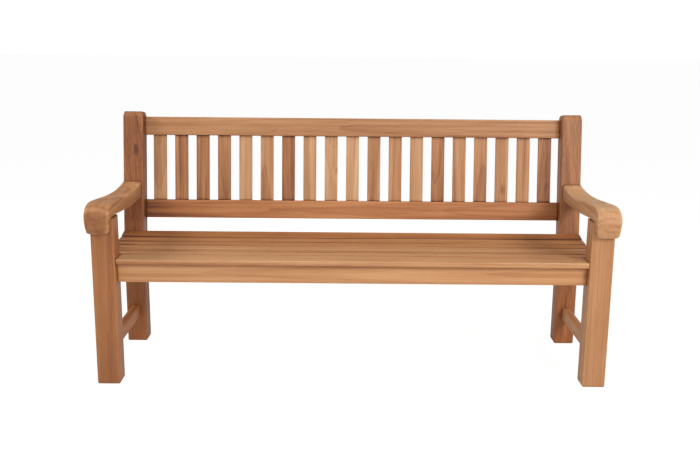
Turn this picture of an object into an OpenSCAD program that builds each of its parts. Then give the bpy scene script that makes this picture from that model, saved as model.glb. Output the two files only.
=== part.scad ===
// Garden bench for three in solid teak, with scroll arms and a slatted back.
// Every board is its own solid: the rails, slats and arms are tenoned into the legs,
// the joints are pinned with round pegs and the seat slats are screwed down under plugs.
// Origin: on the ground, in the middle of the bench's outline. The front faces -Y, +Z is up
// and +X is to the right of somebody who faces the bench, as left and right are in the names.

/* [Overall] */
// Width over the outer faces of the legs
bench_w = 1800; // [1500:10:2100]
// Depth from the front of the front legs to the back of the back legs, on the ground
bench_d = 540; // [530:5:560]
// Height of the back posts before their tops are squared off
post_top = 913; // [905:1:950]

/* [Legs] */
// Width of the front legs, across the bench
leg_w = 80; // [76:1:90]
// Width of the back legs, across the bench
back_leg_w = 77; // [76:1:80]
// Depth of every leg, front to back
leg_d = 75; // [70:1:80]
// Height of the front legs up to the armrest
front_leg_h = 600; // [596:1:604]
// Height at which the back posts start to lean
bend_z = 380; // [376:1:384]
// Lean of the back from the vertical, in degrees
lean = 8.5; // [7:0.5:9]
// Height of the bevel round the top of a back post
top_bevel_h = 18; // [10:1:20]
// Inset of the bevel round the top of a back post
top_bevel_w = 5; // [3:1:8]

/* [Back] */
// Height of the top rail and the lower back rail
back_rail_h = 71; // [66:1:74]
// Thickness of the back rails
back_rail_t = 35; // [32:1:36]
// Height of the underside of the lower back rail along the leaning post
lower_rail_s = 123; // [118:1:126]
// Height of the underside of the top rail along the leaning post
top_rail_s = 449.5; // [446:0.5:450]
// Width of a back slat
back_slat_w = 51; // [40:1:60]
// Thickness of a back slat
back_slat_t = 15; // [14:1:20]
// Distance between the centres of neighbouring back slats
back_slat_pitch = 84.8; // [84:0.1:85.5]

/* [Seat] */
// Height of the top of the seat at its front edge
seat_z = 455; // [450:1:458]
// Thickness of the seat slats
seat_slat_t = 20; // [18:1:22]
// Length of the seat slats that run over the side rails
seat_slat_len = 1784; // [1760:1:1790]
// Width of a seat slat
seat_slat_w = 54; // [50:1:56]
// Distance of the front seat slat behind the front faces of the legs
front_slat_y = 3; // [0:1:8]
// Width of the front seat slat
front_slat_w = 82; // [80:1:84]
// Distance of the seat's back edge behind the front faces of the legs
seat_back_y = 460; // [456:1:460]
// How far the seat falls behind the front slat
seat_fall = 30; // [14:1:32]
// How far the seat is lifted again at the back edge
seat_lift = 33; // [14:1:36]

/* [Rails] */
// Height of the rails under the seat
seat_rail_h = 67; // [64:1:72]
// Distance of the front seat rail behind the front faces of the legs
front_rail_y = 29; // [24:1:32]
// Thickness of the front and back seat rails
seat_rail_t = 32; // [30:1:34]
// Thickness of the side seat rails, the seat supports and the stretchers
side_rail_t = 30; // [28:1:34]
// Distance of each seat support from the middle of the bench
support_x = 300; // [250:5:400]
// Height of the side stretchers
stretcher_h = 45; // [40:1:50]
// Height of the undersides of the side stretchers above the ground
stretcher_z = 105.5; // [100:0.5:160]

/* [Arms] */
// Distance of the arm's inner face from the leg's inner face
arm_inset = 7; // [4:1:10]
// How far the arm stands out past the leg's outer face
arm_overhang = 11; // [6:1:14]
// How far the front of the arm stands out past the front of the leg
nose_out = 40; // [36:1:44]
// Height of the underside of the arm's drop front
nose_z = 550; // [545:1:560]

/* [Joints] */
// Thickness of the tenons on the rails
tenon_t = 12; // [10:1:14]
// Length of the tenons on the rails
tenon_l = 30; // [26:1:32]
// Diameter of the wooden pegs
peg_d = 10; // [8:1:12]
// Diameter of the plugs over the seat screws
plug_d = 10; // [9:1:12]
// Diameter of the seat screws' shanks
screw_d = 4.5; // [4:0.5:5]

/* [Hidden] */
$fn = 32;
teak = "#b3835c";
teak_light = "#c09568";
teak_dark = "#9a6b46";
steel = "#b8bcc0";

// Eased edges of the boards, and how far a small hollow reaches past the face it opens in
ease = 2.5;
skin = 1;

// Main positions, measured from the front faces of the front legs (y) and the middle (x)
half_w = bench_w / 2;
inner_x = half_w - leg_w;
leg_x = half_w - leg_w / 2;
post_out_x = inner_x + back_leg_w;
back_leg_y = bench_d - leg_d;
rail_z = seat_z - seat_slat_t - seat_rail_h;
rail_top = rail_z + seat_rail_h;
rail_mid_z = rail_z + seat_rail_h / 2;
front_rail_back = front_rail_y + seat_rail_t;
back_rail_y = back_leg_y + 20;
tenon_h = seat_rail_h - 20;
post_len = (post_top - bend_z) / cos(lean);
post_back_y = back_leg_y + (post_len - top_bevel_h) * sin(lean) + leg_d * cos(lean);
shift_y = (nose_out - post_back_y) / 2;

// Back slats
back_slat_count = 19;
back_tenon_t = 11;
back_tenon_l = 15;
back_slat_len = top_rail_s - lower_rail_s - back_rail_h;
back_slat_mid = (leg_d - back_rail_t) + back_rail_t / 2;

// Seat slats behind the front slat, numbered from 2 at the front to 7 at the back
seat_slat_count = 6;
slat_corner = 5;
support_tenon = [tenon_t, 20, 30];
curve_y = front_slat_y + front_slat_w;
curve_len = seat_back_y - curve_y;
seat_gap = (curve_len - seat_slat_count * seat_slat_w) / seat_slat_count;
screw_xs = [-leg_x, -support_x, support_x, leg_x];
plug_h = 6;
head_h = 3;
head_d = 8.5;
screw_l = 40;

// Arm: its outline seen from the side runs through these points
arm_back_z = 645;
arm_peak = [45, 650];
arm_in_x = inner_x + arm_inset;
arm_out_x = half_w + arm_overhang;
arm_under_z = 585;
arm_tenon_h = 34;
arm_tenon_z = 595;
arm_tenon_l = 28;
leg_tenon = [16, 40, 30];

function slat_name(i) = str("back_slat_", i < 10 ? "0" : "", i);
function seat_name(i) = str("seat_slat_", i);

// ---------- shared shapes ----------

// Points of a cubic curve from a to d, bent by b and c, without the first point
function curve(a, b, c, d, n) = [
    for (k = [1 : n])
        let (t = k / n, u = 1 - t)
        u * u * u * a + 3 * u * u * t * b + 3 * u * t * t * c + t * t * t * d
];

// Outline of a rectangle from [0, 0] to [w, h] with its corners cut by c
function eased(w, h, c) = [
    [c, 0], [w - c, 0], [w, c], [w, h - c], [w - c, h], [c, h], [0, h - c], [0, c]
];

// The bench's frame: y from the front faces of the front legs
module placed() translate([0, shift_y, 0]) children();

// The right-hand half made into the left-hand one
module on_side(side) mirror([side < 0 ? 1 : 0, 0, 0]) children();

// The leaning part of the back: y is the depth from the posts' front faces, z runs up the post
module leaning() translate([0, back_leg_y, bend_z]) rotate([-lean, 0, 0]) children();

// Board along x with eased long edges, centred on x = 0, its low front edge at y, z
module board_x(len, y, z, depth, height, c = ease)
    translate([-len / 2, y, z]) rotate([90, 0, 90]) linear_extrude(len)
        polygon(eased(depth, height, c));

// Board along y with eased long edges, centred on x
module board_y(x, y, z, thick, len, height, c = ease)
    translate([x - thick / 2, y + len, z]) rotate([90, 0, 0]) linear_extrude(len)
        polygon(eased(thick, height, c));

// Block centred on x
module block(x, y, z, size) translate([x - size.x / 2, y, z]) cube(size);

// ---------- joints ----------

// Tenons of the front and back seat rails, across the bench
module seat_rail_tenons(y)
    for (s = [-1, 1])
        block(s * (inner_x + tenon_l / 2), y + (seat_rail_t - tenon_t) / 2, rail_z + 10,
            [tenon_l, tenon_t, tenon_h]);

// Tenons at both ends of a board between a front and a back leg
module side_tenons(z, height)
    for (y = [leg_d - tenon_l, back_leg_y])
        block(leg_x, y, z, [tenon_t, tenon_l, height]);

// Tenons at the ends of a leaning back rail
module back_rail_tenons(s)
    for (x = [-1, 1])
        block(x * (inner_x + tenon_l / 2), leg_d - (back_rail_t + tenon_t) / 2, s + 10,
            [tenon_l, tenon_t, back_rail_h - 20]);

// Tenon from the back end of the arm into the post
module arm_tenon()
    translate([leg_x - tenon_t / 2, back_leg_y, arm_tenon_z])
        cube([tenon_t, (arm_tenon_z - bend_z) * tan(lean) + arm_tenon_l, arm_tenon_h]);

// Tenon on top of the front leg
module leg_top_tenon(extra = 0)
    block(leg_x, (leg_d - leg_tenon.y) / 2, front_leg_h - extra,
        leg_tenon + [0, 0, extra]);

// Pegs of the right-hand side: across the leg, through the leg and square to the leaning post
module front_leg_pegs() {
    translate([inner_x + tenon_l / 2, leg_d, rail_mid_z]) rotate([90, 0, 0])
        cylinder(d = peg_d, h = 45);
    translate([half_w - 48, leg_d - 18, rail_mid_z]) rotate([0, 90, 0])
        cylinder(d = peg_d, h = 48);
    translate([half_w - 60, leg_d - 18, stretcher_z + stretcher_h / 2]) rotate([0, 90, 0])
        cylinder(d = peg_d, h = 60);
}

module back_leg_pegs() {
    translate([inner_x + tenon_l / 2, bench_d + 20, rail_mid_z]) rotate([90, 0, 0])
        cylinder(d = peg_d, h = 75);
    translate([half_w - 48, back_leg_y + 18, rail_mid_z]) rotate([0, 90, 0])
        cylinder(d = peg_d, h = 48);
    translate([half_w - 60, back_leg_y + 18, stretcher_z + stretcher_h / 2]) rotate([0, 90, 0])
        cylinder(d = peg_d, h = 60);
    translate([half_w - 60, arm_peg_y, arm_tenon_z + arm_tenon_h / 2]) rotate([0, 90, 0])
        cylinder(d = peg_d, h = 60);
    for (s = [lower_rail_s, top_rail_s])
        leaning() translate([inner_x + tenon_l / 2, leg_d, s + back_rail_h / 2])
            rotate([90, 0, 0]) cylinder(d = peg_d, h = 50);
}
arm_peg_y = back_leg_y + (arm_tenon_z - bend_z) * tan(lean) + 16;

module arm_pegs()
    translate([leg_x - 20, leg_d / 2, front_leg_h + leg_tenon.z / 2]) rotate([0, 90, 0])
        cylinder(d = peg_d, h = arm_out_x - leg_x + 20);

// ---------- legs ----------

module front_leg(side) placed() on_side(side) color(teak) difference() {
    union() {
        translate([leg_x - leg_w / 2, 0, 0]) linear_extrude(front_leg_h)
            polygon(eased(leg_w, leg_d, ease + 1));
        leg_top_tenon(skin);
    }
    seat_rail_tenons(front_rail_y);
    side_tenons(rail_z + 10, tenon_h);
    side_tenons(stretcher_z + 6, stretcher_h - 12);
    front_leg_pegs();
    arm_pegs();
}

// Side view of the back leg: upright to the bend, then leaning to the squared-off top
module back_leg_side() {
    top = post_len;
    foot = [[back_leg_y, 0], [bench_d, 0], [bench_d, bend_z - leg_d * tan(lean / 2)]];
    lean_pts = [[leg_d, top - top_bevel_h], [leg_d - top_bevel_w, top], [top_bevel_w, top],
        [0, top - top_bevel_h], [0, 0]];
    up = [for (p = lean_pts) [
        back_leg_y + p[0] * cos(lean) + p[1] * sin(lean),
        bend_z - p[0] * sin(lean) + p[1] * cos(lean)
    ]];
    polygon(concat(foot, up));
}

// Front view of the back leg, with the bevel at the top of both sides
module back_leg_front() {
    tall = post_top + 20;
    bevel_z = post_top - top_bevel_h - 3;
    run = (tall - bevel_z) * top_bevel_w / top_bevel_h;
    polygon([[inner_x, 0], [post_out_x, 0], [post_out_x, bevel_z], [post_out_x - run, tall],
        [inner_x + run, tall], [inner_x, bevel_z]]);
}

module back_leg_blank() intersection() {
    translate([inner_x, 0, 0]) rotate([90, 0, 90]) linear_extrude(back_leg_w) back_leg_side();
    translate([0, post_back_y + skin, 0]) rotate([90, 0, 0])
        linear_extrude(post_back_y + 2 * skin) back_leg_front();
}

module back_leg(side) placed() on_side(side) color(teak) difference() {
    back_leg_blank();
    seat_rail_tenons(back_rail_y);
    side_tenons(rail_z + 10, tenon_h);
    side_tenons(stretcher_z + 6, stretcher_h - 12);
    leaning() back_rail_tenons(lower_rail_s);
    leaning() back_rail_tenons(top_rail_s);
    arm_tenon();
    back_leg_pegs();
}

// ---------- arms ----------

// Side view of the arm: a hollow top that swells over the leg and rolls into the drop front
module arm_side() {
    back_y = back_leg_y + (arm_back_z - bend_z) * tan(lean);
    under_y = back_leg_y + (arm_under_z - bend_z) * tan(lean);
    start = [[under_y, arm_under_z], [back_y, arm_back_z]];
    top = curve([back_y, arm_back_z], [370, 606], [215, 640], arm_peak, 16);
    front = curve(arm_peak, [2, 652], [-nose_out, 640], [-nose_out, 603], 10);
    drop = curve([-nose_out, 603], [-nose_out, 580], [-nose_out + 4, nose_z + 16],
        [-nose_out + 8, nose_z + 8], 5);
    corner = curve([-nose_out + 8, nose_z + 8], [-nose_out + 10, nose_z + 2],
        [-nose_out + 13, nose_z], [-nose_out + 18, nose_z], 3);
    seat = [[0, nose_z], [0, front_leg_h], [leg_d, front_leg_h]];
    under = curve([leg_d, front_leg_h], [170, 592], [300, 579], [under_y, arm_under_z], 10);
    polygon(concat(start, top, front, drop, corner, seat,
        [for (k = [0 : len(under) - 2]) under[k]]));
}

// Plan of the arm: straight inner face, outer face swept in to the post, rounded front corners
module arm_plan() {
    r = 12;
    far_y = back_leg_y + 60;
    sweep = curve([arm_out_x, 250], [arm_out_x, 350], [post_out_x + 5, 440], [post_out_x, far_y], 8);
    corner_out = [for (a = [0 : 15 : 90]) [arm_out_x - r + r * sin(a), r - nose_out - r * cos(a)]];
    corner_in = [for (a = [0 : 15 : 90]) [arm_in_x + r - r * cos(a), r - nose_out - r * sin(a)]];
    polygon(concat([[arm_in_x, far_y]], corner_in, corner_out, [[arm_out_x, 250]], sweep));
}

module arm(side) placed() on_side(side) color(teak_light) difference() {
    union() {
        intersection() {
            translate([arm_in_x, 0, 0]) rotate([90, 0, 90])
                linear_extrude(arm_out_x - arm_in_x) arm_side();
            translate([0, 0, nose_z - skin]) linear_extrude(120) arm_plan();
        }
        intersection() {
            arm_tenon();
            translate([0, -skin, 0]) back_leg_blank();
        }
    }
    leg_top_tenon();
    arm_pegs();
    back_leg_pegs();
}

// ---------- back ----------

// Mortises that take the tenons of the back slats, in the leaning frame
module back_slat_mortises(s)
    for (i = [1 : back_slat_count])
        translate([(i - (back_slat_count + 1) / 2) * back_slat_pitch, 0, 0])
            block(0, back_slat_mid - back_tenon_t / 2, s, [back_slat_w - 8, back_tenon_t, back_tenon_l]);

module back_rail(s, mortise_s) placed() color(teak) difference() {
    leaning() union() {
        board_x(2 * inner_x, leg_d - back_rail_t, s, back_rail_t, back_rail_h, ease + 1);
        back_rail_tenons(s);
    }
    leaning() back_slat_mortises(mortise_s);
    for (side = [-1, 1])
        on_side(side) back_leg_pegs();
}

module top_rail() back_rail(top_rail_s, top_rail_s);
module lower_back_rail() back_rail(lower_rail_s, lower_rail_s + back_rail_h - back_tenon_l);

// One upright slat with a stub tenon at both ends
module back_slat(i) placed() color(i % 2 == 0 ? teak_light : teak) leaning()
    translate([(i - (back_slat_count + 1) / 2) * back_slat_pitch, 0, lower_rail_s + back_rail_h]) {
        translate([-back_slat_w / 2, back_slat_mid - back_slat_t / 2, 0])
            linear_extrude(back_slat_len) polygon(eased(back_slat_w, back_slat_t, 2));
        block(0, back_slat_mid - back_tenon_t / 2, -back_tenon_l,
            [back_slat_w - 8, back_tenon_t, back_slat_len + 2 * back_tenon_l]);
    }

// ---------- seat ----------

// Height of the seat's upper surface behind the front slat
function seat_line(y) =
    let (t = max(0, min(1, (y - curve_y) / curve_len)))
    seat_z - seat_fall * t + seat_lift * pow(t, 4);

// Front lower corner and tilt of a seat slat
function slat_y(i) = curve_y + (i - 2) * (seat_slat_w + seat_gap) + seat_gap;
function slat_foot(i) = [slat_y(i), seat_line(slat_y(i)) - seat_slat_t];
function slat_tilt(i) = atan2(
    seat_line(slat_y(i) + seat_slat_w) - seat_line(slat_y(i)), seat_slat_w);
function slat_heel(i) = slat_foot(i) + seat_slat_w * [cos(slat_tilt(i)), sin(slat_tilt(i))];

// The frame of one seat slat: y across the slat from its front edge, z up from its underside
module at_slat(i) translate([0, slat_foot(i)[0], slat_foot(i)[1]]) rotate([slat_tilt(i), 0, 0])
    children();

// One screw and its plug, in the slat's frame, with the plug's top at z
module screw(z) {
    translate([0, 0, z - plug_h - head_h]) cylinder(d = head_d, h = head_h);
    translate([0, 0, z - plug_h - screw_l]) cylinder(d = screw_d, h = screw_l - head_h + skin / 2);
}

module screw_hole(z) {
    translate([0, 0, z - plug_h - head_h]) cylinder(d = plug_d, h = plug_h + head_h);
    translate([0, 0, z - plug_h - screw_l]) cylinder(d = screw_d, h = screw_l);
}

module plug(z) translate([0, 0, z - plug_h]) cylinder(d = plug_d, h = plug_h);

// Places of the screws in the slats behind the front one, and in the front slat
module slat_screws_at(i) for (x = screw_xs) at_slat(i) translate([x, seat_slat_w / 2, 0]) children();

module front_screws_at()
    for (x = [-inner_x + 40, -support_x, support_x, inner_x - 40])
        translate([x, front_rail_y + seat_rail_t / 2, 0]) children();

module front_seat_slat() placed() color(teak_light) difference() {
    board_x(2 * inner_x - 2, front_slat_y, rail_top, front_slat_w, seat_slat_t, 4);
    front_screws_at() screw_hole(seat_z);
}

module seat_slat(i) placed() color(i % 2 == 0 ? teak : teak_light) difference() {
    at_slat(i) intersection() {
        board_x(seat_slat_len, 0, 0, seat_slat_w, seat_slat_t, ease);
        translate([-seat_slat_len / 2, 0, 0]) linear_extrude(seat_slat_t)
            polygon(eased(seat_slat_len, seat_slat_w, slat_corner));
    }
    slat_screws_at(i) screw_hole(seat_slat_t);
}

module seat_rail(y) {
    board_x(2 * inner_x, y, rail_z, seat_rail_t, seat_rail_h);
    seat_rail_tenons(y);
}

module front_seat_rail() placed() color(teak_light) difference() {
    seat_rail(front_rail_y);
    support_tenons();
    front_screws_at() screw_hole(seat_z);
    for (side = [-1, 1])
        on_side(side) front_leg_pegs();
}

module back_seat_rail() placed() color(teak) difference() {
    seat_rail(back_rail_y);
    support_tenons();
    for (side = [-1, 1])
        on_side(side) back_leg_pegs();
}

// Side view of a seat bearer: flat underneath, its top cut to the line of the slats
function bearer_top() = [
    for (i = [seat_slat_count + 1 : -1 : 2]) each [slat_heel(i), slat_foot(i)]
];

// End of the bearer at the back leg, which starts to lean at the bend
function bearer_end() = [
    [back_leg_y, rail_z], [back_leg_y, bend_z],
    [back_leg_y + (slat_heel(seat_slat_count + 1)[1] - bend_z) * tan(lean),
        slat_heel(seat_slat_count + 1)[1]]
];

module side_seat_rail(side) placed() on_side(side) color(teak_dark) difference() {
    union() {
        translate([leg_x - side_rail_t / 2, 0, 0]) rotate([90, 0, 90]) linear_extrude(side_rail_t)
            polygon(concat([[leg_d, rail_z]], bearer_end(), bearer_top(),
                [[curve_y, rail_top], [leg_d, rail_top]]));
        side_tenons(rail_z + 10, tenon_h);
    }
    bearer_screw_holes(leg_x);
    front_leg_pegs();
    back_leg_pegs();
}

// Tenons of the two seat supports into the front and back seat rails
module support_tenons()
    for (x = [-support_x, support_x], y = [front_rail_back - support_tenon.y, back_rail_y])
        block(x, y, rail_z + 10, support_tenon);

module seat_support(side) placed() on_side(side) color(teak_dark) difference() {
    heel = slat_heel(seat_slat_count + 1);
    union() {
        translate([support_x - side_rail_t / 2, 0, 0]) rotate([90, 0, 90])
            linear_extrude(side_rail_t)
                polygon(concat(
                    [[front_rail_back, rail_z], [back_rail_y, rail_z], [back_rail_y, heel[1]]],
                    bearer_top(), [[curve_y, rail_top], [front_rail_back, rail_top]]));
        intersection() {
            support_tenons();
            translate([support_x - tenon_t, 0, 0]) cube([2 * tenon_t, bench_d, seat_z]);
        }
    }
    bearer_screw_holes(support_x);
}

module bearer_screw_holes(x)
    for (i = [2 : seat_slat_count + 1])
        at_slat(i) translate([x, seat_slat_w / 2, 0]) screw_hole(seat_slat_t);

// ---------- low stretchers ----------

module stretcher(side) placed() on_side(side) color(teak) difference() {
    union() {
        board_y(leg_x, leg_d, stretcher_z, side_rail_t, back_leg_y - leg_d, stretcher_h);
        side_tenons(stretcher_z + 6, stretcher_h - 12);
    }
    front_leg_pegs();
    back_leg_pegs();
}

// ---------- pegs, screws and plugs ----------

module joint_pegs() placed() color(teak_dark) for (side = [-1, 1]) on_side(side) {
    front_leg_pegs();
    arm_pegs();
    intersection() {
        back_leg_pegs();
        back_leg_blank();
    }
}

module seat_screws() placed() color(steel) {
    front_screws_at() screw(seat_z);
    for (i = [2 : seat_slat_count + 1])
        slat_screws_at(i) screw(seat_slat_t);
}

module seat_plugs() placed() color(teak_dark) {
    front_screws_at() plug(seat_z);
    for (i = [2 : seat_slat_count + 1])
        slat_screws_at(i) plug(seat_slat_t);
}

// ---------- the bench ----------

front_leg(-1);  // front_leg_left
front_leg(1);  // front_leg_right
back_leg(-1);  // back_leg_left
back_leg(1);  // back_leg_right
arm(-1);  // arm_left
arm(1);  // arm_right
top_rail();
lower_back_rail();
for (i = [1 : back_slat_count])
    back_slat(i);
front_seat_rail();
back_seat_rail();
side_seat_rail(-1);  // side_seat_rail_left
side_seat_rail(1);  // side_seat_rail_right
seat_support(-1);  // seat_support_left
seat_support(1);  // seat_support_right
front_seat_slat();
for (i = [2 : seat_slat_count + 1])
    seat_slat(i);
stretcher(-1);  // stretcher_left
stretcher(1);  // stretcher_right
joint_pegs();
seat_screws();
seat_plugs();
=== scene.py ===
import math

import bpy
import numpy as np
from mathutils import Matrix, Vector


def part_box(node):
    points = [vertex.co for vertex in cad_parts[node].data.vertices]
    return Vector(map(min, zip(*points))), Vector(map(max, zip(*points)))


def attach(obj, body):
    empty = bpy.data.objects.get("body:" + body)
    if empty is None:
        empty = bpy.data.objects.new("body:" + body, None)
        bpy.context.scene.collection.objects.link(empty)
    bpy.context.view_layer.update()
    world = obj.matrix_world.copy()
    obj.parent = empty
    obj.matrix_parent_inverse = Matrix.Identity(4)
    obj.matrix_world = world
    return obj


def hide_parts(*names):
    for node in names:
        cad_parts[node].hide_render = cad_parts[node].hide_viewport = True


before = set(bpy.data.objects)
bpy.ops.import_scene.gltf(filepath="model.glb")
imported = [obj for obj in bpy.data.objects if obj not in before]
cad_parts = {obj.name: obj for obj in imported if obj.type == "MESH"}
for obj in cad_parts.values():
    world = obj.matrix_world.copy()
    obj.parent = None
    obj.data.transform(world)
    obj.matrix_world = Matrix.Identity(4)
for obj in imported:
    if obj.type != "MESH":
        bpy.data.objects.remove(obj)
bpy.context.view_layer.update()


# ---------- Camera ----------
# A 48 mm lens on a full-frame body stands 3.1 m in front of the bench at the height of a standing
# adult's chest, and is tipped down until the bench sits in the middle of the frame.

camera_data = bpy.data.cameras.new("studio_camera")
camera_data.sensor_width = 36
camera_data.lens = 48.36
camera = bpy.data.objects.new("studio_camera", camera_data)
bpy.context.scene.collection.objects.link(camera)
bpy.context.scene.camera = camera
camera.matrix_world = (
    Matrix.Translation((-0.0292, -3.4265, 1.2685))
    @ Matrix.Rotation(math.radians(-0.337), 4, "Z")
    @ Matrix.Rotation(math.radians(-12.776), 4, "X")
    @ Matrix.Rotation(math.radians(-0.551), 4, "Y")
    @ Matrix.Rotation(math.radians(90), 4, "X")
)
bpy.context.scene.view_settings.view_transform = "Standard"


# ---------- Studio ----------
# A white paper floor under an even white sky. The main softbox stands in front on the right, not far
# above head height. Weaker ones fill from beside the camera, from overhead, from low down behind the
# bench and from past both arms, where they throw the arms' soft shadows on the ends of the seat.


def add(tree, kind, inputs=None, **settings):
    """Adds a shader node with its settings, and plugs a value or another node's output into each input."""
    node = tree.nodes.new("ShaderNode" + kind)
    for name, value in settings.items():
        setattr(node, name, value)
    for name, value in (inputs or {}).items():
        if isinstance(value, bpy.types.NodeSocket):
            tree.links.new(value, node.inputs[name])
        else:
            node.inputs[name].default_value = value
    return node


def linear(hex_colour):
    """An sRGB hex colour as linear red, green, blue and alpha: each channel is a straight line below
    0.04045 and a power of 2.4 above it."""
    channels = np.array([int(hex_colour[i:i + 2], 16) / 255 for i in (0, 2, 4)])
    low = channels / 12.92
    high = ((channels + 0.055) / 1.055) ** 2.4
    return (*np.where(channels < 0.04045, low, high), 1.0)


def paper_floor():
    """A flat square of white paper, 60 m on a side. It lights the bench as plain paper does, and the
    camera sees it almost blown out, so that only a trace of the shadows is left."""
    half = 30.0
    level = -0.0005
    corners = [(-half, -half, level), (half, -half, level), (half, half, level), (-half, half, level)]
    mesh = bpy.data.meshes.new("paper_floor")
    mesh.from_pydata(corners, [], [(0, 1, 2, 3)])
    paper = bpy.data.materials.new("white studio paper")
    paper.use_nodes = True
    tree = paper.node_tree
    seen = add(tree, "LightPath").outputs["Is Camera Ray"]
    share = add(tree, "Math", {0: seen, 1: 0.85}, operation="MULTIPLY").outputs[0]
    white = add(tree, "Emission", {"Color": linear("ffffff"), "Strength": 1.08}).outputs[0]
    shader = tree.nodes["Principled BSDF"]
    shader.inputs["Base Color"].default_value = linear("dcdcda")
    shader.inputs["Roughness"].default_value = 0.9
    shader.inputs["Specular IOR Level"].default_value = 0.0
    shader.inputs["Emission Color"].default_value = linear("ffffff")
    shader.inputs["Emission Strength"].default_value = 0.2
    both = add(tree, "MixShader", {0: share, 1: shader.outputs[0], 2: white}).outputs[0]
    tree.links.new(both, tree.nodes["Material Output"].inputs["Surface"])
    mesh.materials.append(paper)
    floor = bpy.data.objects.new("paper_floor", mesh)
    bpy.context.scene.collection.objects.link(floor)


def white_sky(strength):
    """An even white sky that lights the bench with that strength and looks pure white to the camera."""
    sky = bpy.data.worlds.new("white sky")
    sky.use_nodes = True
    tree = sky.node_tree
    seen = add(tree, "LightPath").outputs["Is Camera Ray"]
    level = add(tree, "MapRange", {"Value": seen, "To Min": strength, "To Max": 1.02}).outputs["Result"]
    tree.nodes["Background"].inputs["Color"].default_value = (1.0, 1.0, 1.0, 1.0)
    tree.links.new(level, tree.nodes["Background"].inputs["Strength"])
    bpy.context.scene.world = sky


def softbox(name, place, target, side, power, mirrored=True):
    """A square area light of that side in metres, turned so that its -Z axis looks at the target. One that
    is not mirrored lights the bench without a gloss on it."""
    light = bpy.data.lights.new(name, "AREA")
    light.size = side
    light.energy = power
    lamp = bpy.data.objects.new(name, light)
    lamp.visible_glossy = mirrored
    bpy.context.scene.collection.objects.link(lamp)
    turn = (Vector(place) - Vector(target)).to_track_quat("Z", "Y")
    lamp.matrix_world = Matrix.Translation(place) @ turn.to_matrix().to_4x4()


paper_floor()
white_sky(0.30)
softbox("main_softbox", (2.3, -3.0, 2.1), (0.0, 0.0, 0.5), 1.2, 92)
softbox("front_softbox", (-0.6, -3.7, 1.9), (0.0, 0.0, 0.5), 1.2, 36)
softbox("top_softbox", (0.0, -0.8, 3.4), (0.0, -0.1, 0.5), 2.4, 22)
softbox("left_side_softbox", (-2.5, -0.5, 2.1), (0.0, 0.1, 0.4), 0.9, 34)
softbox("right_side_softbox", (2.5, -0.5, 2.1), (0.0, 0.1, 0.4), 0.9, 18)
softbox("back_softbox", (-0.8, 3.2, 0.6), (0.0, 0.0, 0.5), 1.0, 34, mirrored=False)


# ---------- Front legs ----------
# Each front leg is one square post of solid teak, 80 by 75 mm, with lightly rounded long edges and an
# eased foot. It stands straight up to the arm, and a tenon on its top is hidden inside the arm.

leg_top_tenon = 0.030
leg_edge = 0.0035
foot_edge = 0.007
fade = 0.006  # how far beside an edge the flat goes on carrying its own shading
least_radius = 0.0004
no_knot = (99.0, 0.0, 0.0)  # a place far outside every board


def box_of(node):
    """The lowest and highest corner of a CAD node as arrays."""
    low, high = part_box(node)
    return np.array(low), np.array(high)


def board_stations(length, start_edge, end_edge):
    """Distances along a board, how far the section is drawn in at each, and the weight of the dark joint
    line, which is dirt and painted shade. A free end with an edge of r is a quarter circle: at angle a the
    distance from the end is r (1 - sin a) and the section is drawn in by r (1 - cos a). An end without an
    edge is a square shoulder against another board, where the dirt and painted shade of the joint line fade
    out over 12 mm. Seven stations between the ends let a tone change along the board."""
    def end(edge):
        if edge:
            angles = np.radians([90, 60, 30, 0])
            along = np.append(edge * (1 - np.sin(angles)), edge + fade)
            return along, np.append(edge * (1 - np.cos(angles)), 0), np.zeros(5)
        return np.array([0, 0.004, 0.012]), np.zeros(3), np.array([1, 0.3, 0])
    first, first_in, first_dark = end(start_edge)
    last, last_in, last_dark = end(end_edge)
    shares = np.array([0.08, 0.2, 0.35, 0.5, 0.65, 0.8, 0.92])
    plain = np.zeros(len(shares))
    along = np.concatenate([first, length * shares, length - last[::-1]])
    drawn_in = np.concatenate([first_in, plain, last_in[::-1]])
    return along, drawn_in, np.concatenate([first_dark, plain, last_dark[::-1]])


def carry_section(centres, across, through, wide, deep, radius):
    """Rings of a rounded rectangle carried along a path. The rectangle at each centre is wide along
    `across` and deep along `through`. A corner's arc is its own centre plus the radius times the cosine
    and sine of four angles 30 degrees apart. One more point lies on the flat on both sides of the arc, so
    that the shading of the edge stays narrow. Gives the rings and how much of an edge each point is."""
    stations = len(centres)
    wide, deep = (np.broadcast_to(size, stations) for size in (wide, deep))
    across, through = (np.broadcast_to(way, (stations, 3)) for way in (across, through))
    radius = np.broadcast_to(radius, (stations, 2))
    gap = np.minimum(fade, 0.3 * (np.minimum(wide, deep) - 2 * radius.max(1)))
    columns = []
    for side, up, first_angle in ((1, 1, 0), (-1, 1, 90), (-1, -1, 180), (1, -1, 270)):
        r = radius[:, 1] if up > 0 else radius[:, 0]
        angles = np.radians(first_angle + np.array([0, 0, 30, 60, 90, 90]))
        slide = np.array([-1, 0, 0, 0, 0, 1]) * gap[:, None]
        u = side * (wide / 2 - r)[:, None] + r[:, None] * np.cos(angles) - slide * np.sin(angles)
        v = up * (deep / 2 - r)[:, None] + r[:, None] * np.sin(angles) + slide * np.cos(angles)
        columns.append(centres[:, None] + u[..., None] * across[:, None] + v[..., None] * through[:, None])
    edge = np.tile([0, 0.5, 1, 1, 0.5, 0], 4)
    return np.concatenate(columns, axis=1), edge


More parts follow.
